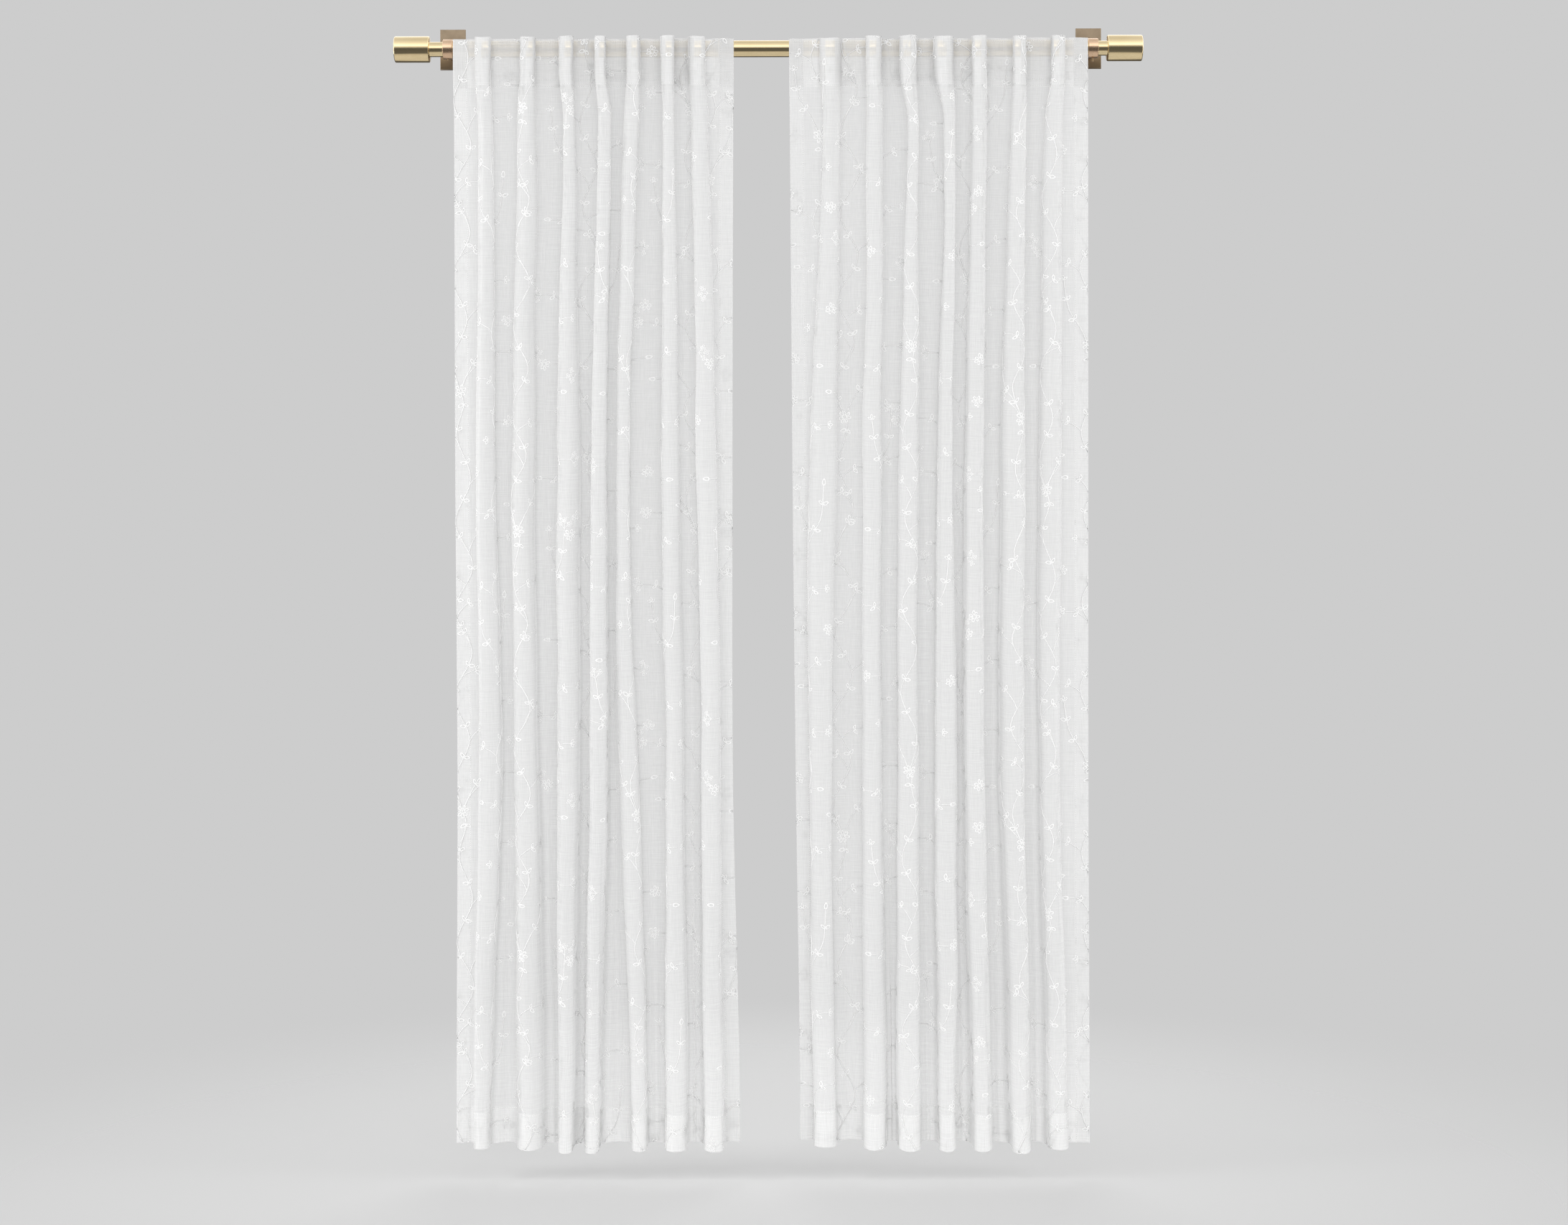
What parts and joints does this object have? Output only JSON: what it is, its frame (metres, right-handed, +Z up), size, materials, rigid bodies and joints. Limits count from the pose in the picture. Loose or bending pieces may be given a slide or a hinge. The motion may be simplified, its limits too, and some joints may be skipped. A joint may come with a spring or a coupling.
{
  "type": "pair of sheer voile curtains on a curtain rod",
  "caption": "Pair of sheer embroidered voile curtain panels hung by back tabs from a brass rod with cylinder finials, ring brackets and wall plates.",
  "frame": {"origin": "middle of the bounding box's floor, level with the lowest point of the hems", "axes": "+Z up along the cloth, +X along the rod to the right as seen from the room, -Y towards the room, +Y towards the wall"},
  "size_m": [1.45, 0.1734, 2.1838],
  "materials": {
    "voile": "sheer white voile, plain weave with slubs",
    "rod_brass": "satin",
    "bracket_brass": "satin, copper tinted",
    "screw_brass": "satin",
    "plate_bronze": "darkened, satin"
  },
  "bodies": {
    "root": {"panel_left": "voile", "panel_right": "voile", "back_tab_left_1": "voile", "back_tab_left_2": "voile", "back_tab_left_3": "voile", "back_tab_left_4": "voile", "back_tab_left_5": "voile", "back_tab_left_6": "voile", "back_tab_left_7": "voile", "back_tab_left_8": "voile", "back_tab_right_1": "voile", "back_tab_right_2": "voile", "back_tab_right_3": "voile", "back_tab_right_4": "voile", "back_tab_right_5": "voile", "back_tab_right_6": "voile", "back_tab_right_7": "voile", "back_tab_right_8": "voile", "rod": "rod_brass", "finial_left": "rod_brass", "finial_right": "rod_brass", "bracket_left": "bracket_brass", "bracket_right": "bracket_brass", "set_screw_left": "screw_brass", "set_screw_right": "screw_brass", "wall_plate_left": "plate_bronze", "wall_plate_right": "plate_bronze"}
  },
  "joints": []
}
